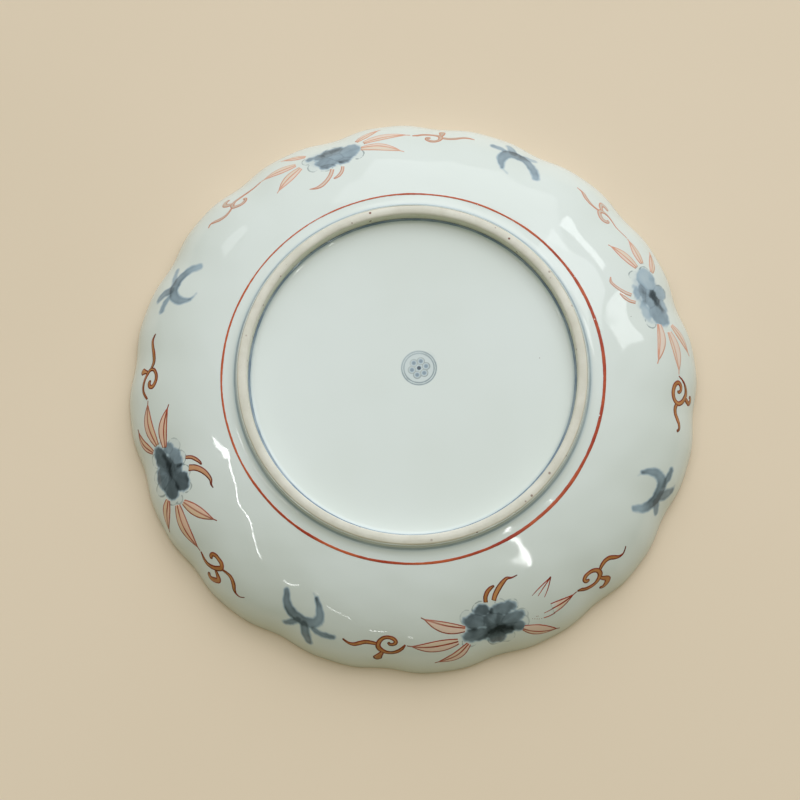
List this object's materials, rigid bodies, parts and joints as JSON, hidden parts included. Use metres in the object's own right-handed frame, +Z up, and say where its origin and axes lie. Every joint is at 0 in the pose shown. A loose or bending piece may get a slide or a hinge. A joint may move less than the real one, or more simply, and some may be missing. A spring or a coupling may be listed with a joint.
{
  "type": "plate",
  "caption": "Deep porcelain plate with a lobed rim and a foot ring, painted with blossom sprays, stored face down on its rim.",
  "frame": {"origin": "centre of the rim's circle, on the plane that the rim stands on", "axes": "+Z up through the foot ring, away from the dish's hollow, because the plate is stored face down; +X to the right and +Y away from the viewer as pictured"},
  "size_m": [0.2174, 0.2156, 0.0305],
  "materials": {
    "glaze": "clear glossy glaze over pale grey-green porcelain, with underglaze blue",
    "bare_clay": "wiped bare, matt, cream with small iron specks",
    "red_enamel": "thin brushed iron-red enamel, satin",
    "leaf_enamel": "thin salmon wash with iron-red outline and ribs",
    "ochre_enamel": "worn ochre-gold enamel with iron-red outline, satin"
  },
  "bodies": {
    "root": {"dish_body": "glaze", "foot_ring": "bare_clay", "red_ring": "red_enamel", "left_leaf_ahead_1": "leaf_enamel", "left_leaf_ahead_2": "leaf_enamel", "left_leaf_ahead_3": "leaf_enamel", "left_scroll_ahead": "ochre_enamel", "left_leaf_behind_1": "leaf_enamel", "left_leaf_behind_2": "leaf_enamel", "left_leaf_behind_3": "leaf_enamel", "left_scroll_behind": "ochre_enamel", "left_hook_1": "ochre_enamel", "left_hook_2": "ochre_enamel", "near_leaf_ahead_1": "leaf_enamel", "near_leaf_ahead_2": "leaf_enamel", "near_leaf_ahead_3": "leaf_enamel", "near_scroll_ahead": "ochre_enamel", "near_leaf_behind_1": "leaf_enamel", "near_leaf_behind_2": "leaf_enamel", "near_leaf_behind_3": "leaf_enamel", "near_scroll_behind": "ochre_enamel", "near_hook_1": "ochre_enamel", "near_hook_2": "ochre_enamel", "right_leaf_ahead_1": "leaf_enamel", "right_leaf_ahead_2": "leaf_enamel", "right_leaf_ahead_3": "leaf_enamel", "right_scroll_ahead": "ochre_enamel", "right_leaf_behind_1": "leaf_enamel", "right_leaf_behind_2": "leaf_enamel", "right_leaf_behind_3": "leaf_enamel", "right_scroll_behind": "ochre_enamel", "right_hook_1": "ochre_enamel", "right_hook_2": "ochre_enamel", "far_leaf_ahead_1": "leaf_enamel", "far_leaf_ahead_2": "leaf_enamel", "far_leaf_ahead_3": "leaf_enamel", "far_scroll_ahead": "ochre_enamel", "far_leaf_behind_1": "leaf_enamel", "far_leaf_behind_2": "leaf_enamel", "far_leaf_behind_3": "leaf_enamel", "far_scroll_behind": "ochre_enamel", "far_hook_1": "ochre_enamel", "far_hook_2": "ochre_enamel"}
  },
  "joints": []
}
